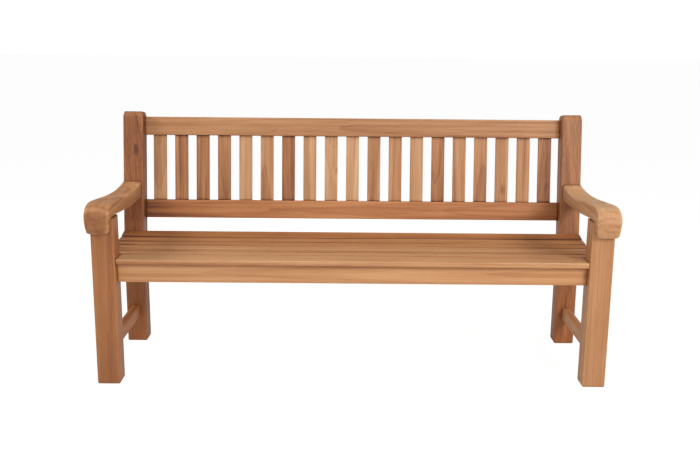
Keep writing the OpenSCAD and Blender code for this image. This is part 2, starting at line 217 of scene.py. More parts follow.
def closed_tube(name, rings):
    """A closed mesh from rings of points: four-sided faces between neighbouring rings and one flat face
    over each end, turned round if the signed volume says that they point inwards."""
    count, around = rings.shape[:2]
    here = np.arange(count - 1)[:, None] * around + np.arange(around)
    beside = np.arange(count - 1)[:, None] * around + (np.arange(around) + 1) % around
    quads = np.stack([here, beside, beside + around, here + around], axis=-1).reshape(-1, 4)
    ends = [np.arange(around)[::-1], (count - 1) * around + np.arange(around)]
    points = rings.reshape(-1, 3)
    middle = points.mean(0)
    a, b, c = (points[quads[:, k]] - middle for k in (0, 1, 2))
    if np.einsum("ij,ij->i", a, np.cross(b, c)).sum() < 0:
        quads = quads[:, ::-1]
        ends = [end[::-1] for end in ends]
    mesh = bpy.data.meshes.new(name)
    mesh.from_pydata(points.tolist(), [], quads.tolist() + [end.tolist() for end in ends])
    mesh.shade_smooth()
    for polygon in mesh.polygons[-2:]:
        polygon.use_smooth = False
    return mesh


def paint(mesh, name, values):
    """Stores one number or one vector for every vertex, under that name, for the material to read."""
    values = np.asarray(values, dtype=np.float32)
    kind, field = ("FLOAT", "value") if values.ndim == 1 else ("FLOAT_VECTOR", "vector")
    mesh.attributes.new(name, kind, "POINT").data.foreach_set(field, values.ravel())


def saw_from_log(mesh, along, face, cut, dark, red, seed, knot=None, dark_ends=0.0, figure=1.0):
    """Says where in the log a board was sawn. The grain coordinates are metres along the fibres and two
    distances from the heart of the log, which lies 60 to 110 mm under a flat sawn face, off to one side of
    a quarter sawn one and under a corner of a rift sawn one. It drifts along the board by about 10 mm a
    metre, less on a long board, so that the rings run out in long arches. A knot is a point on the board's
    face. Dark and red are one tone, or the tones at the start and the far end. Painted shade can darken
    the wood towards both ends by the amount given, fading out over 100 mm, and figure says how strongly its
    bands and streaks show."""
    points = np.zeros(len(mesh.vertices) * 3)
    mesh.vertices.foreach_get("co", points)
    points = points.reshape(-1, 3)
    along, face = (np.array(way, dtype=float) / np.linalg.norm(way) for way in (along, face))
    side = np.cross(face, along)
    middle = (points.max(0) + points.min(0)) / 2
    from_middle = (points - middle) @ along
    chance = np.random.default_rng(seed)
    heart = chance.uniform(0.060, 0.110)
    aside = chance.uniform(-0.015, 0.015)
    metre_drift = 0.010 * chance.uniform(0.7, 1.3) * chance.choice([-1, 1])
    drift = metre_drift / np.ptp(from_middle) ** 0.7
    width_off, depth_off = {"flat": (aside, heart), "rift": (heart, heart), "quarter": (heart, aside)}[cut]
    start = 10 * chance.uniform(-1, 1)

    def in_the_log(places):
        """Grain coordinates of places in the bench."""
        length, width, depth = ((places - middle) @ way for way in (along, side, face))
        lean_in = drift * length
        return np.stack([length + start, width + width_off + 0.3 * lean_in, depth + depth_off + lean_in], -1)

    count = len(points)
    end_shade_reach = 0.100
    from_end = from_middle.max() - np.abs(from_middle)
    reach = from_middle.min(), from_middle.max()
    tone, warmth = (np.interp(from_middle, reach, np.broadcast_to(value, 2)) for value in (dark, red))
    # Painted shade towards both ends of the board, where arms and posts shade it
    tone = tone + dark_ends * np.exp(-from_end / end_shade_reach)
    paint(mesh, "grain", in_the_log(points))
    paint(mesh, "fibre_way", np.tile(along, (count, 1)))
    paint(mesh, "board", np.stack([tone, warmth, np.full(count, figure)], axis=1))
    paint(mesh, "knot", np.tile(no_knot if knot is None else in_the_log(np.array(knot)), (count, 1)))


def sanded_teak():
    """Planed and sanded teak without any finish. The rings of the log give long arches and bands in
    honey and brown, ring by ring and in wide groups, with fine dark pores along the fibres. Sawn ends
    drink light and look darker and redder. The surface is matt with a faint oily sheen."""
    ring_width = 0.006  # real rings are 2 to 4 mm, drawn coarser so that they show
    material = bpy.data.materials.new("sanded teak")
    material.use_nodes = True
    tree = material.node_tree

    def maths(operation, *values, clamp=False):
        """The result of a Math node on those values."""
        return add(tree, "Math", dict(enumerate(values)), operation=operation, use_clamp=clamp).outputs[0]

    def noise(stretch, detail=2.0, roughness=0.5):
        """Noise with that many waves to a metre along, across and through the board."""
        vector = add(tree, "VectorMath", {0: grain, 1: stretch}, operation="MULTIPLY").outputs[0]
        inputs = {"Vector": vector, "Scale": 1.0, "Detail": detail, "Roughness": roughness}
        return add(tree, "TexNoise", inputs).outputs["Fac"]

    def step(value, low, high):
        """A smooth step from 0 at the low value to 1 at the high one."""
        inputs = {"Value": value, "From Min": low, "From Max": high}
        return add(tree, "MapRange", inputs, interpolation_type="SMOOTHSTEP").outputs["Result"]

    def attribute(name, output):
        """What paint stored under that name."""
        return add(tree, "Attribute", attribute_name=name).outputs[output]

    grain = attribute("grain", "Vector")
    board = add(tree, "SeparateXYZ", {0: attribute("board", "Vector")}).outputs

    # Knot: how near it is, drawn out along the fibres
    knot = attribute("knot", "Vector")
    offset = add(tree, "VectorMath", {0: grain, 1: knot}, operation="SUBTRACT").outputs[0]
    squeezed = add(tree, "VectorMath", {0: offset, 1: (0.45, 1.0, 0.3)}, operation="MULTIPLY").outputs[0]
    away = add(tree, "VectorMath", {0: squeezed}, operation="LENGTH").outputs["Value"]
    swirl = maths("EXPONENT", maths("MULTIPLY", away, -60.0))
    core = maths("SUBTRACT", 1.0, step(away, 0.0, 0.015))

    # Rings: distance from the heart of the log, with slow wandering and a swirl round the knot
    flat = add(tree, "VectorMath", {0: grain, 1: (0.0, 1.0, 1.0)}, operation="MULTIPLY").outputs[0]
    radius = add(tree, "VectorMath", {0: flat}, operation="LENGTH").outputs["Value"]
    wander = maths("MULTIPLY_ADD", noise((0.9, 5.0, 5.0)), 0.012, radius)
    wander = maths("MULTIPLY_ADD", noise((4.0, 30.0, 30.0)), 0.0018, wander)
    wander = maths("MULTIPLY_ADD", swirl, 0.010, wander)
    ring = maths("DIVIDE", wander, ring_width)
    late = maths("POWER", maths("FRACT", ring), 3.0)
    spread = add(tree, "CombineXYZ", {0: maths("MULTIPLY", ring, 0.42)}).outputs[0]
    band = add(tree, "TexNoise", {"Vector": spread, "Scale": 1.0, "Detail": 1.5}).outputs["Fac"]

    # Streaks, fibres and pores
    streak = noise((1.1, 75.0, 75.0), 3.0, 0.55)
    fibre = noise((7.0, 420.0, 420.0), 2.0, 0.6)
    pore = step(noise((26.0, 900.0, 900.0), 1.0), 0.60, 0.72)
    cloud = noise((3.0, 6.0, 6.0), 2.0)
    mottle = noise((45.0, 30.0, 90.0), 3.0, 0.6)

    # Sawn ends: the surface looks along the fibres
    normal = add(tree, "NewGeometry").outputs["Normal"]
    fibre_way = attribute("fibre_way", "Vector")
    facing = add(tree, "VectorMath", {0: normal, 1: fibre_way}, operation="DOT_PRODUCT")
    sawn_end = step(maths("ABSOLUTE", facing.outputs["Value"]), 0.45, 0.95)

    # Darkness of the wood from 0, cream, to 1, dark brown. Sawn ends hide most of the bands.
    figure = maths("MULTIPLY", maths("SUBTRACT", band, 0.5), 0.80)
    figure = maths("MULTIPLY_ADD", maths("SUBTRACT", streak, 0.5), 0.60, figure)
    figure = maths("MULTIPLY_ADD", maths("SUBTRACT", late, 0.25), 0.13, figure)
    shown = maths("MULTIPLY", maths("MULTIPLY_ADD", sawn_end, -0.6, 1.0), board[2])
    dark = maths("MULTIPLY_ADD", figure, shown, board[0])
    dark = maths("MULTIPLY_ADD", maths("SUBTRACT", fibre, 0.5), 0.34, dark)
    dark = maths("MULTIPLY_ADD", maths("SUBTRACT", cloud, 0.5), 0.22, dark)
    dark = maths("MULTIPLY_ADD", pore, 0.10, dark)
    dark = maths("MULTIPLY_ADD", maths("MULTIPLY", maths("SUBTRACT", mottle, 0.5), sawn_end), 0.45, dark)
    dark = maths("MULTIPLY_ADD", sawn_end, 0.20, dark)
    dark = maths("MULTIPLY_ADD", core, 0.25, dark)
    # Rounded edges a little lighter: partly sanded paler, partly a painted highlight of the light they catch
    dark = maths("MULTIPLY_ADD", attribute("edge", "Fac"), -0.07, dark)
    # Dark joint lines, which are dirt and painted shade, and painted shade in the seat gaps, on the arms'
    # sides, on the post over the seat and down the front slat's face
    dark = maths("MULTIPLY_ADD", attribute("joint_dirt_and_shade", "Fac"), 0.42, dark, clamp=True)
    ramp = add(tree, "ValToRGB", {"Fac": dark})
    stops = ((0.0, "cfa47c"), (0.3, "bb8a61"), (0.6, "a16c43"), (0.85, "7e4a27"), (1.0, "502a13"))
    while len(ramp.color_ramp.elements) < len(stops):
        ramp.color_ramp.elements.new(0.5)
    for element, (place, colour) in zip(ramp.color_ramp.elements, stops):
        element.position = place
        element.color = linear(colour)
    warm = add(tree, "MixRGB", {"Fac": board[1], "Color1": linear("f7fdff"), "Color2": linear("ffebcc")})
    tinted = add(tree, "MixRGB", {"Fac": 1.0, "Color1": ramp.outputs[0], "Color2": warm.outputs[0]},
                 blend_type="MULTIPLY")

    # Relief: pores are cut open, and the soft part of each ring wears down a little
    relief = maths("MULTIPLY_ADD", pore, -0.5, maths("MULTIPLY", fibre, 0.8))
    relief = maths("MULTIPLY_ADD", late, 0.25, relief)
    bump = add(tree, "Bump", {"Height": relief, "Strength": 0.5, "Distance": 0.0006})
    gloss = maths("MULTIPLY_ADD", fibre, 0.16, 0.42)
    gloss = maths("MULTIPLY_ADD", sawn_end, 0.12, gloss)

    shader = tree.nodes["Principled BSDF"]
    shader.inputs["IOR"].default_value = 1.5
    shader.inputs["Specular IOR Level"].default_value = 0.4
    tree.links.new(tinted.outputs[0], shader.inputs["Base Color"])
    tree.links.new(gloss, shader.inputs["Roughness"])
    tree.links.new(bump.outputs[0], shader.inputs["Normal"])
    return material


teak = sanded_teak()


def place_piece(mesh, node, material):
    """Puts the finished mesh in the scene as the piece that stands for the CAD node."""
    mesh.materials.append(material)
    piece = bpy.data.objects.new(mesh.name, mesh)
    bpy.context.scene.collection.objects.link(piece)
    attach(piece, "root")
    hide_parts(node)


def teak_board(node, rings, edge, joint_dirt_and_shade, along, face, **wood):
    """Closes the rings into a board, says where in the log it was sawn, and places it. The joint weight
    darkens the wood, one for every ring or every point: the dark line at joints, which is dirt and painted
    shade, and painted shade in gaps, under the arms and on shaded faces."""
    mesh = closed_tube(node + "_teak", rings)
    paint(mesh, "edge", np.tile(edge, len(rings)))
    paint(mesh, "joint_dirt_and_shade", np.broadcast_to(joint_dirt_and_shade, rings.shape[:2]).ravel())
    saw_from_log(mesh, along, face, **wood)
    place_piece(mesh, node, teak)


def straight_board(node, start, along, length, across, through, wide, deep, edge, ends, flat_end=1.0,
                   joint_line=1.0, painted_shade=0.0, painted_shade_inside=1.0, **wood):
    """A board of one section from start along a straight line: rounded long edges, and ends that are
    shoulders or have an edge of their own, which draws the depth in by flat_end times as much as the
    width. Painted shade can be given as a weight for each point of the section, with the share of it that
    is kept away from the ends given separately."""
    places, drawn_in, joint_dirt_and_shade = board_stations(length, *ends)
    from_ends = np.minimum(places, length - places)
    inside = from_ends > 0.05 * length
    painted_shade = np.where(inside, painted_shade_inside, 1.0)[:, None] * painted_shade
    along, across, through = (np.array(way, dtype=float) for way in (along, across, through))
    centres = np.array(start) + places[:, None] * along
    radius = np.maximum(edge - drawn_in * flat_end, least_radius)
    rings, edges = carry_section(centres, across, through, wide - 2 * drawn_in,
                                 deep - 2 * drawn_in * flat_end, np.stack([radius, radius], axis=1))
    teak_board(node, rings, edges, np.maximum(joint_dirt_and_shade[:, None] * joint_line, painted_shade), along, through, **wood)


for side, dark, red, seed in (("left", 0.72, 0.55, 11), ("right", 0.54, 0.15, 12)):
    low, high = box_of("front_leg_" + side)
    middle = (low + high) / 2
    straight_board(
        "front_leg_" + side, (middle[0], middle[1], 0.0), (0, 0, 1), high[2] - leg_top_tenon,
        (1, 0, 0), (0, -1, 0), high[0] - low[0], high[1] - low[1], leg_edge, (foot_edge, 0),
        joint_line=0.2, cut="rift", dark=dark, red=red, seed=seed, figure=0.4,
    )


# ---------- Back legs ----------
# Each back leg is sawn from one wide teak plank: upright to just under the seat, then leaning back as
# the post that carries the back. The top is cut square to the lean and bevelled on all four sides.

lean = math.radians(8.5)
bend_height = 0.380
bend_soft = 0.030
bevel_tall = 0.018
bevel_inset = 0.005
top_edge = 0.0015
up_the_back = np.array([0.0, math.sin(lean), math.cos(lean)])
out_of_the_back = np.array([0.0, math.cos(lean), -math.sin(lean)])
leg_depth = np.ptp([corner[1] for corner in box_of("front_leg_left")])
bend_front = np.array([0.0, box_of("back_leg_left")[0][1], bend_height])


def back_leg(side, dark, red, seed, knot=None, shadow_over_seat=0.0):
    """Rings of the back leg, each between a point on its front line and a point on its back line. Both
    lines go straight up to the bend, turn evenly through the lean over 60 mm, and run on to the top. A
    painted shadow of the arm can darken the post over the seat, and the top is bleached a little."""
    low, high = box_of("back_leg_" + side)
    foot_y = bend_front[1]
    post_length = (high[2] - bend_height + bevel_inset * math.sin(lean)) / math.cos(lean)
    foot, foot_in, _ = (part[:5] for part in board_stations(bend_height, foot_edge, 0))
    turn = np.linspace(0, 1, 7)[:, None]
    below = np.array([0, foot_y, bend_height - bend_soft])
    above = bend_front + bend_soft * up_the_back
    front_turn = (1 - turn) ** 2 * below + 2 * turn * (1 - turn) * bend_front + turn ** 2 * above
    depth_turn = (1 - turn) * np.array([0, leg_depth, 0]) + turn * leg_depth * out_of_the_back
    front_foot = np.stack([0 * foot, foot_y + 0 * foot, foot], axis=1)
    depth_foot = np.tile([0, leg_depth, 0], (len(foot), 1))
    over_seat = 0.12
    over_arm = 0.30
    bevel_start = post_length - bevel_tall
    tall = np.array([over_seat, over_arm, bevel_start - fade, bevel_start - 0.001, bevel_start + 0.002,
                     post_length - top_edge, post_length])
    slope = bevel_inset / bevel_tall
    post_in = np.array([0, 0, 0, 0, 0.002 * slope, (bevel_tall - top_edge) * slope, bevel_inset + 0.0012])
    front_post = bend_front + tall[:, None] * up_the_back
    depth_post = np.tile(leg_depth * out_of_the_back, (len(tall), 1))
    front = np.concatenate([front_foot, front_turn, front_post])
    deep = np.concatenate([depth_foot, depth_turn, depth_post])
    drawn_in = np.concatenate([foot_in, np.zeros(len(turn)), post_in])
    darkening = np.zeros(len(drawn_in))
    darkening[-3:] = -0.15
    # Painted shadow of the arm on the post, between the seat and the arm
    darkening[-len(tall)] = shadow_over_seat
    size = np.linalg.norm(deep, axis=1)
    centres = front + deep / 2
    centres[:, 0] = (low[0] + high[0]) / 2
    radius = np.maximum(leg_edge - drawn_in, 0.0012)
    rings, edge = carry_section(centres, (1, 0, 0), deep / size[:, None], high[0] - low[0] - 2 * drawn_in,
                                size - 2 * drawn_in, np.stack([radius, radius], axis=1))
    plank_lean = 0.08
    teak_board("back_leg_" + side, rings, edge, darkening[:, None], (0, plank_lean, 1), (0, -1, plank_lean),
               cut="rift", dark=dark, red=red, seed=seed, knot=knot, figure=0.5)


knot_in_post = bend_front + 0.391 * up_the_back + (box_of("back_leg_left")[1][0] - 0.027, 0, 0)
# The left post carries a painted shadow of its arm over the seat
back_leg("left", (0.72, 0.82), (1.0, 0.35), 21, knot=knot_in_post, shadow_over_seat=0.3)
back_leg("right", (0.73, 0.78), (1.0, 0.1), 22)


# ---------- Arms ----------
# Each arm is band sawn from a thick teak plank with its grain running front to back. Its top is hollow
# behind, swells over the leg and rolls over into a nose that drops in front of the leg.

arm_back_top = 0.645
arm_back_under = 0.585
arm_peak = (0.045, 0.650)
nose_reach = 0.040
nose_front = (-nose_reach, 0.603)
drop_end = (-0.032, 0.558)
nose_under = 0.550
sweep_start = 0.250
leg_height = box_of("front_leg_left")[1][2] - leg_top_tenon
# How much painted shade each of a section's 24 points takes: the sides and the underside, and little on the
# top
arm_face_shade = np.array([1, 1, 0.6, 0.3, 0, 0] + [0, 0, 0.3, 0.6, 1, 1] + [1] * 12)


def curve(points, t):
    """A cubic curve through its first and last point, bent by the two between them: the points are
    weighted by (1 - t) cubed, 3 t (1 - t) squared, 3 t squared (1 - t) and t cubed."""
    t = np.asarray(t)[:, None]
    weights = np.concatenate([(1 - t) ** 3, 3 * t * (1 - t) ** 2, 3 * t ** 2 * (1 - t), t ** 3], axis=1)
    return weights @ np.array(points)


def arm_from_the_side(depth, behind_top, behind_under):
    """The arm's side view as pairs of points, each with its distance behind the front leg's front face and
    its height. The outer line runs over the top, round the nose and down its drop. The inner line runs
    along the underside to the leg's back corner, gathers along the leg's top at its front corner, and goes
    down the leg's front face. Also gives how far each pair has rolled round the nose, from 0 to 1."""
    long_t = np.linspace(0, 1, 26)[:-1]
    nose_t = np.linspace(0, 1, 15)[:-1]
    drop_t = np.linspace(0, 1, 7)[:-1]
    end_t = np.linspace(0, 1, 5)
    top = curve([(behind_top, arm_back_top), (0.370, 0.606), (0.215, 0.640), arm_peak], long_t)
    nose = curve([arm_peak, (0.002, 0.652), (-nose_reach, 0.640), nose_front], nose_t)
    drop = curve([nose_front, (-nose_reach, 0.580), (-0.036, 0.566), drop_end], drop_t)
    end = curve([drop_end, (-0.030, 0.552), (-0.027, nose_under), (-0.022, nose_under)], end_t)
    leg_corner = (depth, leg_height)
    under = curve([(behind_under, arm_back_under), (0.300, 0.579), (0.170, 0.592), leg_corner], long_t)
    hollow = 0.002
    last_height = 0.559
    gather = np.stack([depth * np.maximum(0, 1 - 1.8 * nose_t), leg_height - hollow * nose_t], axis=1)
    face_z = np.linspace(leg_height - hollow, last_height, len(drop_t) + 1)[:-1]
    face = np.stack([0 * drop_t, face_z], axis=1)
    last = np.stack([0 * end_t, np.linspace(last_height, nose_under, len(end_t))], axis=1)
    outer = np.concatenate([top, nose, drop, end])
    inner = np.concatenate([under, gather, face, last])
    rolled = np.concatenate([np.zeros(len(long_t)), nose_t, np.ones(len(drop_t) + len(end_t))])
    return outer, inner, rolled


def arm(side, dark, red, seed, side_shade):
    """Rings of the arm, each between a point of its underside and a point of its top. Over the leg the
    lower points gather at the leg's front corner while the upper ones roll round the nose, so the rings
    turn from upright to level, and the last ones close the drop from below."""
    leg_low, leg_high = box_of("front_leg_" + side)
    low, high = box_of("arm_" + side)
    post_low, post_high = box_of("back_leg_" + side)
    leg_front, leg_back = leg_low[1], leg_high[1]
    post_front = bend_front[1] - leg_front
    behind = [post_front + (z - bend_height) * math.tan(lean) for z in (arm_back_top, arm_back_under)]
    outer, inner, rolled = arm_from_the_side(leg_back - leg_front, *behind)

    # Across the bench: a straight inner side, and an outer side that sweeps in to the post
    sign = 1 if side == "right" else -1
    flush = min(abs(low[0]), abs(high[0]))
    proud = max(abs(low[0]), abs(high[0]))
    post_out = max(abs(post_low[0]), abs(post_high[0]))
    sweep_long = post_front + 0.060 - sweep_start
    back = np.clip((outer[:, 0] - sweep_start) / sweep_long, 0, 1)
    outside = proud - (proud - post_out) * back ** 1.6

    # The drop tapers by 5 mm on each side, and its lower edge is rounded with a radius of 7 mm
    fall_long = 0.055
    fall = np.clip((0.605 - outer[:, 1]) / fall_long, 0, 1) * (outer[:, 0] < 0)
    taper = 0.005 * fall ** 1.5
    under_nose = 0.007 * (1 - np.cos(np.radians([0, 25, 50, 75, 90])))
    rounding = np.concatenate([np.zeros(len(outer) - len(under_nose)), under_nose])
    wide = outside - flush - 2 * (taper + rounding)

    middle_x = sign * (outside + flush) / 2
    upper = np.stack([middle_x, outer[:, 0] + leg_front, outer[:, 1]], axis=1)
    lower = np.stack([middle_x, inner[:, 0] + leg_front, inner[:, 1]], axis=1)
    deep = upper - lower
    size = np.linalg.norm(deep, axis=1)
    radius = np.stack([0.003 - 0.002 * rolled, 0.0055 + 0.0055 * rolled - rounding * 0.3], axis=1)
    rings, edge = carry_section((lower + upper) / 2, (sign, 0, 0), deep / size[:, None], wide, size, radius)
    # Painted shade on the arm's sides and underside and round its rolled nose; the first two rings at its
    # back end against the post are darker too
    darkening = side_shade * np.maximum(arm_face_shade, 0.55 * rolled[:, None])
    darkening[:2] = np.maximum(darkening[:2], [[0.5], [0.1]])
    teak_board("arm_" + side, rings, edge, darkening, (0, 1, 0), (0, 0, 1),
               cut="flat", dark=dark, red=red, seed=seed)


arm("left", 0.51, 0.2, 31, 0.20)
arm("right", 0.24, 0.0, 32, 0.42)


# ---------- Back rails ----------
# The top rail and the lower back rail are straight 35 by 71 mm teak boards, tenoned between the two
# posts and leaning with them. The back slats are let into their facing edges.

rail_edge = 0.0032


def between_legs(kind):
    """The inner faces of the left and right leg of that kind, across the bench."""
    return box_of(kind + "_leg_left")[1][0], box_of(kind + "_leg_right")[0][0]


def back_rail(node, tall, thick, **wood):
    """A straight board from post to post through the middle of the CAD rail."""
    left, right = between_legs("back")
    low, high = box_of(node)
    middle = (low + high) / 2
    straight_board(node, (left, middle[1], middle[2]), (1, 0, 0), right - left, up_the_back,
                   -out_of_the_back, tall, thick, rail_edge, (0, 0), **wood)


back_rail_tall = 0.071
back_rail_thick = 0.035
back_rail("top_rail", back_rail_tall, back_rail_thick, cut="flat", dark=0.57, red=0.05, seed=41)
# Painted shade darkens the lower rail towards both ends, where the arms shade it, and it is darker towards
# its left end
back_rail("lower_back_rail", back_rail_tall, back_rail_thick, cut="flat", dark=(0.60, 0.41),
          red=0.8, seed=42, dark_ends=0.28)


# ---------- Back slats ----------
# Nineteen thin teak slats, 51 by 15 mm, stand between the two back rails with a stub tenon at each end.
# They come from many boards, so their colour jumps from cream to red brown and their grain differs.

slat_wide = 0.051
slat_thick = 0.015
slat_edge = 0.002
slat_darkness = (0.39, 0.66, 0.67, 0.57, 0.38, 0.54, 0.73, 0.42, 0.40, 0.27,
                 0.53, 0.58, 0.39, 0.68, 0.50, 0.59, 0.50, 0.52, 0.65)
slat_knots = {9: (0.122, 0.022), 17: (0.050, 0.006)}


def middle_of(node):
    """The middle of a CAD node's box."""
    low, high = box_of(node)
    return (low + high) / 2


def back_slats():
    """Every slat is a straight board up the lean, between the facing edges of the two back rails."""
    rail_gap = (middle_of("top_rail") - middle_of("lower_back_rail")) @ up_the_back - back_rail_tall
    cuts = ("rift", "flat", "quarter", "rift", "flat")
    for number, dark in enumerate(slat_darkness, start=1):
        node = f"back_slat_{number:02d}"
        start = middle_of(node) - up_the_back * rail_gap / 2
        knot = None
        if number in slat_knots:
            up, aside = slat_knots[number]
            knot = start + up * up_the_back + (aside, 0, 0) - out_of_the_back * slat_thick / 2
        straight_board(node, start, up_the_back, rail_gap, (1, 0, 0), -out_of_the_back, slat_wide,
                       slat_thick, slat_edge, (0, 0), cut=cuts[number % 5], dark=dark,
                       red=max(0.0, 1.2 * dark - 0.5), seed=100 + number, knot=knot)


back_slats()


# ---------- Seat rails and bearers ----------
# The front and back seat rails run from leg to leg under the seat. The side rails and two supports
# between them carry the slats on edges cut to the dished line of the seat.

seat_edge = 0.0025
seat_slat_thick = 0.020
seat_low, seat_high = box_of("front_seat_slat")
seat_fall = 0.030
seat_lift = 0.033
dish_depth = 0.375
slat_gap = 0.0006  # the hair of air between a bearer and the slats on it


def seat_line(y):
    """Height of the seat's upper surface: it falls evenly behind the front slat, and the fourth power of
    the distance lifts it again at the back edge."""
    t = np.clip((y - seat_high[1]) / dish_depth, 0, 1)
    return seat_high[2] - seat_fall * t + seat_lift * t ** 4


def seat_rail(node, kind, **wood):
    """A straight board from leg to leg through the middle of the CAD rail."""
    left, right = between_legs(kind)
    low, high = box_of(node)
    middle = (low + high) / 2
    straight_board(node, (left, middle[1], middle[2]), (1, 0, 0), right - left, (0, 0, 1), (0, -1, 0),
                   high[2] - low[2], high[1] - low[1], seat_edge, (0, 0), **wood)


def bearer(node, front, back, thick, **wood):
    """A board on edge from front to back whose top follows the undersides of the slats."""
    low, high = box_of(node)
    y = np.concatenate([[front, front + 0.004, front + 0.012], np.linspace(front + 0.02, back, 18)])
    top = np.where(y < seat_high[1], seat_low[2], seat_line(y) - seat_slat_thick) - slat_gap
    bottom = low[2]
    centres = np.stack([np.full(len(y), (low[0] + high[0]) / 2), y, (top + bottom) / 2], axis=1)
    rings, edge = carry_section(centres, (1, 0, 0), (0, 0, 1), thick, top - bottom, (seat_edge, 0.001))
    joint_dirt_and_shade = np.concatenate([[1, 0.3], np.zeros(len(y) - 3), [1]])
    teak_board(node, rings, edge, joint_dirt_and_shade[:, None], (0, 1, 0), (1, 0, 0), **wood)


seat_rail("front_seat_rail", "front", cut="flat", dark=0.34, red=0.5, seed=51)
seat_rail("back_seat_rail", "back", cut="rift", dark=0.50, red=0.5, seed=52)
rail_back_face = box_of("front_seat_rail")[1][1]
back_rail_face = box_of("back_seat_rail")[0][1]
leg_back_face = box_of("front_leg_left")[1][1]
side_board = 0.030
for number, side in enumerate(("left", "right")):
    bearer("side_seat_rail_" + side, leg_back_face, bend_front[1], side_board,
           cut="rift", dark=0.55, red=0.5, seed=53 + number)
    bearer("seat_support_" + side, rail_back_face, back_rail_face, side_board,
           cut="rift", dark=0.60, red=0.5, seed=55 + number)


# ---------- Seat slats ----------
# A wide front slat lies between the front legs, and six 54 by 20 mm slats lie over the bearers behind
# it, each screwed down through its face at the side rails and at the two supports.

seat_slat_wide = 0.054
front_slat_edge = 0.004
slat_corner = 0.009
seat_darkness = (0.33, 0.42, 0.30, 0.46, 0.44, 0.59)
# Painted shade for each of a section's 24 points: in the gaps between the slats, and down the front slat's
# face
shade_in_the_gaps = np.array([1, 1, 1, 0.8, 0.35, 0] + [0, 0.35, 0.8, 1, 1, 1] + [1] * 12) * 1.6
shade_down_front_face = np.array([0.45, 0.4, 0.2, 0, 0, 0] + [0] * 12 + [1, 1, 0.9, 0.7, 0.6, 0.5])


def slat_plane(number):
    """Middle of a slat and the direction across it, from its front edge to its back edge on the dish."""
    low, high = box_of(f"seat_slat_{number}")
    rise = seat_line(low[1] + seat_slat_wide) - seat_line(low[1])
    backwards = np.array([0, seat_slat_wide, rise]) / math.hypot(seat_slat_wide, rise)
    return (low + high) / 2, backwards


def seat_slats():
    """The front slat is a straight level board, and the others are tilted onto the seat's line."""
    middle = middle_of("front_seat_slat")
    # Painted shade darkens the front slat's front face
    straight_board("front_seat_slat", (seat_low[0], middle[1], middle[2]), (1, 0, 0),
                   seat_high[0] - seat_low[0], (0, -1, 0), (0, 0, 1), seat_high[1] - seat_low[1],
                   seat_slat_thick, front_slat_edge, (0, 0), painted_shade=shade_down_front_face,
                   cut="flat", dark=(0.40, 0.32), red=0.25, seed=61)
    for number, dark in enumerate(seat_darkness, start=2):
        node = f"seat_slat_{number}"
        low, high = box_of(node)
        middle, backwards = slat_plane(number)
        # Painted shade in the gaps between the slats, full at the ends under the arms and half in the
        # middle, and painted shade darkening each slat towards both ends
        straight_board(node, (low[0], middle[1], middle[2]), (1, 0, 0), high[0] - low[0], -backwards,
                       np.cross((1, 0, 0), backwards), seat_slat_wide, seat_slat_thick, seat_edge,
                       (slat_corner, slat_corner), flat_end=0.25, painted_shade=shade_in_the_gaps, painted_shade_inside=0.5,
                       cut=("flat", "rift", "quarter")[number % 3], dark=dark, red=0.8 * dark,
                       seed=60 + number, dark_ends=0.25)


seat_slats()


# ---------- Stretchers ----------
# A low stretcher joins the front and back leg on each side. It is a small straight teak board on edge
# with a tenon in each leg.

for side, dark, seed in (("left", 0.66, 71), ("right", 0.40, 72)):
    node = "stretcher_" + side
    low, high = box_of(node)
    middle = (low + high) / 2
    back_face = box_of("back_leg_" + side)[0][1]
    straight_board(node, (middle[0], leg_back_face, middle[2]), (0, 1, 0), back_face - leg_back_face,
                   (0, 0, 1), (1, 0, 0), high[2] - low[2], side_board, seat_edge, (0, 0),
                   cut="flat", dark=dark, red=1.5 * dark, seed=seed)


# ---------- Joint pegs and seat plugs ----------
# Round teak pegs pin the tenons, and short round plugs close the holes over the seat screws. Both are
# 10 mm thick and sanded almost flush, so they show as small rounds with a dark line round them.

peg_radius = 0.005
peg_long = 0.045
plug_long = 0.006
half_tenon = 0.015
peg_inset = 0.018
arm_tenon_low = 0.595
arm_tenon_tall = 0.034
arm_peg_inset = 0.016
front_screw_inset = 0.040


